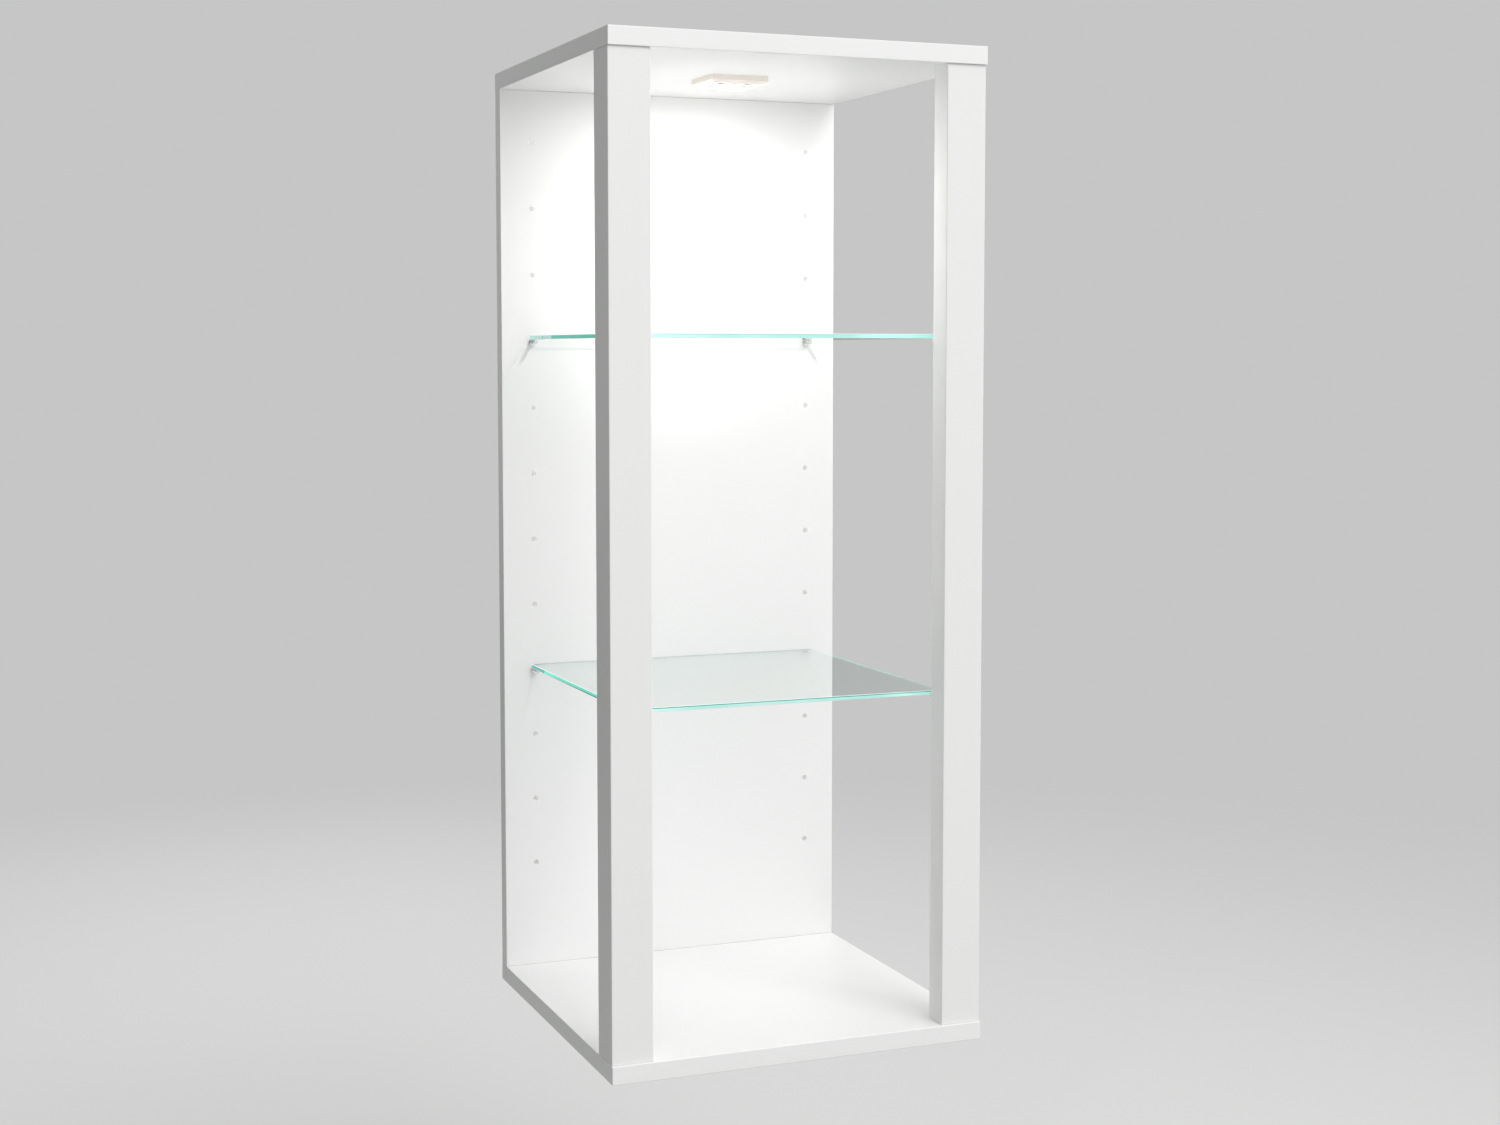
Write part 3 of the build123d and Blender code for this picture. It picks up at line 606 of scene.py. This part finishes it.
def make_pins():
    """Turned and nickel plated pins with fine rings from the lathe."""
    material, tree = new_material("bright_nickel")
    place = object_place(tree)
    rings = noise(tree, scaled(tree, place, LATHE_STRETCH), LATHE_SCALE)
    smear = noise(tree, place, NICKEL_SMEAR_SCALE, 3.0)
    colour = mixed(tree, smear, NICKEL, toned(NICKEL, NICKEL_DARKENING))
    roughness = spread(tree, smear, 0.14, 0.30)
    normal = bump(tree, rings, LATHE_DEPTH, 0.4)
    surface = principled(tree, Base_Color=colour, Metallic=1.0, Roughness=roughness, Normal=normal)
    finish_material(tree, surface)
    for node in NODES:
        if "_pin_" in node:
            set_material(node, material)


def make_sleeves():
    """Clear soft plastic caps on the pins."""
    material, tree = new_material("clear_sleeve")
    place = object_place(tree)
    haze = noise(tree, place, SLEEVE_HAZE_SCALE, 3.0)
    body = principled(
        tree,
        Base_Color=mixed(tree, haze, SLEEVE_CLEAR, SLEEVE_HAZE),
        Roughness=spread(tree, haze, 0.05, 0.16),
        IOR=SLEEVE_IOR,
        Transmission_Weight=SLEEVE_CLARITY,
        Normal=bump(tree, haze, SLEEVE_HAZE_DEPTH, 0.3),
    )
    shadow = add(tree, "BsdfTransparent", {"Color": SLEEVE_SHADOW}).outputs[0]
    surface = add(tree, "MixShader", {0: lets_light_by(tree), 1: body, 2: shadow}).outputs[0]
    finish_material(tree, surface)
    for node in NODES:
        if "_sleeve_" in node:
            set_material(node, material)


# ---------------------------------------------------------------- lamp

LENS_PITCH = 12.5 * MM
LENSLET_RADIUS = 4.5 * MM
LENS_GLOW = 1.02
LENS_GLOW_BETWEEN = 0.92
RING_RADIUS = 0.60 * LENSLET_RADIUS
RING_REACH = 0.32 * LENSLET_RADIUS
RING_DIMMING = 0.97
LED_GLOW = 1.5
LAMP_CHAMFER = 3.0 * MM
LAMP_GLOSS = 0.34
CHAMFER_NORMAL_Y = 0.3
# Painted light on the lamp housing, as glow strengths.
RIM_GLOW = 0.36
BODY_GLOW = 0.20
LENS_FROST_SCALE = 1500.0
LENS_FROST_DEPTH = 0.02 * MM
LED_SPECK_SCALE = 3000.0
WEAVE_SCALE = 900.0
WEAVE_DEPTH = 0.01 * MM

# Moulded plastic, of the lamp and of the caps.
LAMP_GRAIN_SCALE = 1800.0
CAP_GRAIN_SCALE = 2200.0
CAP_GLOSS = 0.38
PLASTIC_GRAIN_DEPTH = 0.02 * MM
PLASTIC_FLOW_SCALE = 45.0
PLASTIC_DARKENING = 0.93
PLASTIC_LIGHT_DEPTH = 1.0 * MM
PLASTIC_LIGHT_SHARE = 0.05


def moulded_plastic(name, base, gloss, grain_scale, glow=None):
    """Injection moulded plastic with a spark eroded grain. glow gives painted light, added as a glow."""
    material, tree = new_material(name)
    place = object_place(tree)
    grain = noise(tree, place, grain_scale, 2.0, 0.6)
    flow = noise(tree, place, PLASTIC_FLOW_SCALE)
    colour = mixed(tree, spread(tree, flow, 0.0, 0.7), base, toned(base, PLASTIC_DARKENING))
    roughness = spread(tree, grain, gloss - 0.06, gloss + 0.10)
    inputs = {
        "Base_Color": colour,
        "Roughness": roughness,
        "Normal": bump(tree, grain, PLASTIC_GRAIN_DEPTH, 0.5),
        "Subsurface_Weight": PLASTIC_LIGHT_SHARE,
        "Subsurface_Scale": PLASTIC_LIGHT_DEPTH,
    }
    if glow is not None:
        inputs["Emission_Color"] = colour
        inputs["Emission_Strength"] = glow(tree, place)
    finish_material(tree, principled(tree, **inputs))
    return material


def rim_glow(tree, place):
    """Painted light on the lamp housing: a weak glow over the whole body, stronger on the lower rim and its
    two side chamfers, where the lens spills its light.
    """
    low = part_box("lamp_housing")[0]
    z = split(tree, place)[2]
    lower = maths(tree, "LESS_THAN", z, low.z + LAMP_CHAMFER - FACE_REACH)
    sideways = maths(tree, "LESS_THAN", unsigned(tree, normal_parts(tree)[1]), CHAMFER_NORMAL_Y)
    return spread(tree, product(tree, lower, sideways), BODY_GLOW, RIM_GLOW)


def make_lens():
    """The lit lens plate: nine bright domes, each in a thin dark ring."""
    low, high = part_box("lamp_lens")
    centre = (low + high) / 2
    material, tree = new_material("lamp_lens_lit")
    place = object_place(tree)
    x, y = split(tree, place)[:2]
    squares = []
    for value, middle in ((x, centre.x), (y, centre.y)):
        offset = maths(tree, "ADD", maths(tree, "SUBTRACT", value, middle), 1.5 * LENS_PITCH)
        in_cell = maths(tree, "FLOORED_MODULO", offset, LENS_PITCH)
        from_middle = maths(tree, "SUBTRACT", in_cell, LENS_PITCH / 2)
        squares.append(product(tree, from_middle, from_middle))
    radius = maths(tree, "SQRT", maths(tree, "ADD", squares[0], squares[1]))
    in_dome = opposite(tree, step_up(tree, radius, 0.90 * LENSLET_RADIUS, 1.02 * LENSLET_RADIUS))
    ring = close_to(tree, radius, RING_RADIUS, RING_REACH)
    frost = noise(tree, place, LENS_FROST_SCALE, 3.0)
    colour = mixed(tree, ring, LENS_WHITE, LENS_RING)
    glow = spread(tree, in_dome, LENS_GLOW_BETWEEN, LENS_GLOW)
    glow = product(tree, glow, spread(tree, frost, 0.9, 1.1))
    glow = product(tree, glow, opposite(tree, product(tree, ring, RING_DIMMING)))
    surface = principled(
        tree,
        Base_Color=colour,
        Roughness=spread(tree, frost, 0.15, 0.35),
        Specular_IOR_Level=spread(tree, ring, 0.5, 0.0),
        Emission_Color=LENS_WHITE,
        Emission_Strength=glow,
        Normal=bump(tree, frost, LENS_FROST_DEPTH, 0.4),
    )
    finish_material(tree, surface)
    set_material("lamp_lens", material)


def unseen_light(name, kind, place, power):
    """A light inside the object, which isn't seen itself, in reflections or through the glass."""
    data = bpy.data.lights.new(name, kind)
    data.energy = power
    light = bpy.data.objects.new(name, data)
    light.location = place
    light.visible_camera = False
    light.visible_glossy = False
    light.visible_transmission = False
    bpy.context.scene.collection.objects.link(light)
    return light


def make_lamp_light():
    """The light that the lens gives: a small square just under it, shining down, and a little all round."""
    low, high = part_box("lamp_lens")
    middle = (low + high) / 2
    beam_place = (middle.x, middle.y, low.z - LAMP_BEAM_DROP)
    spill_place = (middle.x, middle.y, low.z - LAMP_SPILL_DROP)
    beam = unseen_light("lamp_beam", "AREA", beam_place, LAMP_BEAM_POWER)
    beam.data.shape = "SQUARE"
    beam.data.size = LAMP_BEAM_SIZE
    spill = unseen_light("lamp_spill", "POINT", spill_place, LAMP_SPILL_POWER)
    spill.data.shadow_soft_size = LAMP_SPILL_RADIUS
    for light in (beam, spill):
        light.data.color = LAMP_LIGHT_COLOUR


def make_leds():
    """The light emitters: clear resin over an amber phosphor."""
    material, tree = new_material("led_package")
    place = object_place(tree)
    speck = noise(tree, place, LED_SPECK_SCALE)
    colour = mixed(tree, speck, LED_AMBER, LED_CREAM)
    surface = principled(
        tree,
        Base_Color=colour,
        Roughness=0.3,
        Emission_Color=colour,
        Emission_Strength=LED_GLOW,
    )
    finish_material(tree, surface)
    set_material("lamp_leds", material)


def make_circuit_board():
    """White solder mask over a woven board."""
    material, tree = new_material("solder_mask")
    place = object_place(tree)
    wave = {"Vector": place, "Scale": WEAVE_SCALE, "Distortion": 0.6}
    weave = add(tree, "TexWave", wave).outputs["Fac"]
    colour = mixed(tree, spread(tree, weave, 0.0, 0.4), SOLDER_MASK, toned(SOLDER_MASK, 0.9))
    normal = bump(tree, weave, WEAVE_DEPTH)
    finish_material(tree, principled(tree, Base_Color=colour, Roughness=0.32, Normal=normal))
    set_material("lamp_circuit_board", material)


def make_lamp():
    """The housing and what is in it."""
    housing = moulded_plastic("lamp_plastic", LAMP_IVORY, LAMP_GLOSS, LAMP_GRAIN_SCALE, rim_glow)
    set_material("lamp_housing", housing)
    make_lens()
    make_leds()
    make_circuit_board()


# ---------------------------------------------------------------- metal, wood and small plastic parts

BLOOM_SCALE = 520.0
CLOUD_SCALE = 160.0
ROLLED_SCALE = 2600.0
ROLLED_STRETCH = (1.0, 1.0, 0.03)
ROLLED_DEPTH = 0.015 * MM
ZINC_LIGHTENING = 1.25
VESSEL_SCALE = 1300.0
VESSEL_STRETCH = (1.0, 1.0, 0.06)
VESSEL_DEPTH = 0.08 * MM
FLECK_SCALE = 3200.0
FLECK_STRETCH = (1.0, 1.0, 0.15)


def make_zinc():
    """Bright zinc plated steel with a crystalline bloom and rolling marks."""
    material, tree = new_material("zinc_plate")
    place = object_place(tree)
    shade = flake_shade(tree, place, BLOOM_SCALE)
    cloud = noise(tree, place, CLOUD_SCALE, 4.0, 0.6)
    rolled = noise(tree, scaled(tree, place, ROLLED_STRETCH), ROLLED_SCALE)
    colour = mixed(tree, spread(tree, shade, 0.0, 0.5), ZINC, toned(ZINC, ZINC_LIGHTENING))
    colour = mixed(tree, step_up(tree, cloud, 0.55, 0.80), colour, ZINC_YELLOWED)
    roughness = maths(tree, "ADD", spread(tree, cloud, 0.18, 0.42), spread(tree, shade, 0.0, 0.08))
    normal = bump(tree, rolled, ROLLED_DEPTH, 0.5)
    surface = principled(tree, Base_Color=colour, Metallic=1.0, Roughness=roughness, Normal=normal)
    finish_material(tree, surface)
    for node in NODES:
        if node.endswith("_screws") or node.endswith("_hanger_plate") or node == "lamp_base_plate":
            set_material(node, material)


def make_wood():
    """Beech dowels: fine vessels and flecks along the grain."""
    material, tree = new_material("beech")
    place = object_place(tree)
    grain = noise(tree, scaled(tree, place, VESSEL_STRETCH), VESSEL_SCALE, 4.0, 0.6)
    flecks = noise(tree, scaled(tree, place, FLECK_STRETCH), FLECK_SCALE)
    colour = mixed(tree, grain, BEECH_DARK, BEECH_LIGHT)
    colour = mixed(tree, step_up(tree, flecks, 0.60, 0.70), colour, BEECH_DARK)
    normal = bump(tree, grain, VESSEL_DEPTH, 0.6)
    roughness = spread(tree, grain, 0.5, 0.75)
    finish_material(tree, principled(tree, Base_Color=colour, Roughness=roughness, Normal=normal))
    for node in ("top_dowels", "bottom_dowels"):
        set_material(node, material)


def make_small_plastic():
    """The screw caps and the grommet."""
    material = moulded_plastic("cap_plastic", WHITE_PLASTIC, CAP_GLOSS, CAP_GRAIN_SCALE)
    for node in ("top_screw_caps", "bottom_screw_caps", "lead_grommet"):
        set_material(node, material)


# ---------------------------------------------------------------- stage

def make_world():
    """A plain pale backdrop, and a soft studio gradient for the light it gives."""
    world = bpy.data.worlds.new("studio")
    bpy.context.scene.world = world
    world.use_nodes = True
    tree = world.node_tree
    tree.nodes.clear()
    direction = add(tree, "TexCoord").outputs["Generated"]
    towards = Vector(STUDIO_BRIGHT_TOWARDS).normalized()
    aligned = add(tree, "VectorMath", {0: direction, 1: towards}, operation="DOT_PRODUCT").outputs["Value"]
    factor = step_up(tree, aligned, *STUDIO_FADE)
    studio = mixed(tree, factor, STUDIO_DARK_SIDE, STUDIO_BRIGHT_SIDE)
    light = add(tree, "Background", {"Color": studio}).outputs[0]
    seen = add(tree, "Background", {"Color": BACKDROP_COLOUR}).outputs[0]
    path = add(tree, "LightPath")
    is_seen = maths(tree, "MAXIMUM", path.outputs["Is Camera Ray"], path.outputs["Is Transmission Ray"])
    surface = add(tree, "MixShader", {0: is_seen, 1: light, 2: seen}).outputs[0]
    add(tree, "OutputWorld", {"Surface": surface})


def make_floor():
    """A round pale floor below the object, matt, fading out into the backdrop."""
    bpy.ops.mesh.primitive_circle_add(
        vertices=FLOOR_SIDES,
        radius=FLOOR_RADIUS,
        fill_type="TRIFAN",
        location=(0.0, (CAD_LOW.y + CAD_HIGH.y) / 2, CAD_LOW.z - FLOOR_DROP),
    )
    floor = bpy.context.active_object
    floor.name = "floor"
    material, tree = new_material("floor_matt")
    place = object_place(tree)
    distance = add(tree, "VectorMath", {0: place}, operation="LENGTH").outputs["Value"]
    grain = noise(tree, place, FLOOR_GRAIN_SCALE, 4.0)
    colour = mixed(tree, spread(tree, grain, 0.0, 0.3), FLOOR_LIGHT, FLOOR_DARK)
    matt = principled(tree, Base_Color=colour, Roughness=FLOOR_ROUGHNESS, Specular_IOR_Level=0.2)
    gone = add(tree, "BsdfTransparent").outputs[0]
    dim = principled(tree, Base_Color=FLOOR_BOUNCE_COLOUR, Roughness=FLOOR_ROUGHNESS)
    is_bounce = add(tree, "LightPath").outputs["Is Diffuse Ray"]
    matt = add(tree, "MixShader", {0: is_bounce, 1: matt, 2: dim}).outputs[0]
    far = step_up(tree, distance, FLOOR_FADE_START, FLOOR_FADE_END)
    underneath = add(tree, "NewGeometry").outputs["Backfacing"]
    factor = maths(tree, "MAXIMUM", far, underneath)
    finish_material(tree, add(tree, "MixShader", {0: factor, 1: matt, 2: gone}).outputs[0])
    floor.data.materials.append(material)


def make_softbox(name, place, size, power):
    """A large square softbox aimed at the middle of the object."""
    data = bpy.data.lights.new(name, "AREA")
    data.shape = "SQUARE"
    data.size = size
    data.energy = power
    light = bpy.data.objects.new(name, data)
    light.location = place
    aim = (CAD_LOW + CAD_HIGH) / 2 - place
    light.rotation_euler = aim.to_track_quat("-Z", "Y").to_euler()
    light.visible_camera = False
    bpy.context.scene.collection.objects.link(light)


def make_bounce_lights():
    """What the white surfaces and the glass throw back: up under the top board, and across to the right."""
    middle = (CAD_LOW + CAD_HIGH) / 2
    upward = unseen_light("bounce_up", "AREA", (0.0, middle.y, 0.0), UP_BOUNCE_POWER)
    upward.data.shape = "SQUARE"
    upward.data.size = UP_BOUNCE_SIZE
    upward.data.spread = math.radians(UP_BOUNCE_SPREAD)
    upward.rotation_euler = (math.pi, 0.0, 0.0)
    side_place = (CAD_LOW.x + SIDE_BOUNCE_INSET, middle.y, 0.0)
    sideways = unseen_light("bounce_across", "AREA", side_place, SIDE_BOUNCE_POWER)
    sideways.data.shape = "RECTANGLE"
    sideways.data.size = SIDE_BOUNCE_HEIGHT
    sideways.data.size_y = SIDE_BOUNCE_DEPTH
    sideways.data.spread = math.radians(SIDE_BOUNCE_SPREAD)
    sideways.rotation_euler = (0.0, -math.pi / 2, 0.0)


def make_camera():
    """The scene's camera."""
    data = bpy.data.cameras.new("camera")
    data.lens = CAMERA_LENS
    data.shift_y = CAMERA_SHIFT_Y
    camera = bpy.data.objects.new("camera", data)
    camera.location = CAMERA_PLACE
    tilt = math.radians(90.0 - CAMERA_PITCH_DOWN)
    camera.rotation_euler = (tilt, 0.0, math.radians(-CAMERA_YAW_RIGHT))
    bpy.context.scene.collection.objects.link(camera)
    bpy.context.scene.camera = camera


make_boards()
make_edging()
make_posts()
make_glass()
make_pins()
make_sleeves()
make_lamp()
make_zinc()
make_wood()
make_small_plastic()
make_world()
make_floor()
make_softbox("key", KEY_PLACE, KEY_SIZE, KEY_POWER)
make_softbox("rear", REAR_LIGHT_PLACE, REAR_LIGHT_SIZE, REAR_LIGHT_POWER)
make_lamp_light()
make_bounce_lights()
make_camera()
bpy.context.scene.view_settings.view_transform = "Standard"
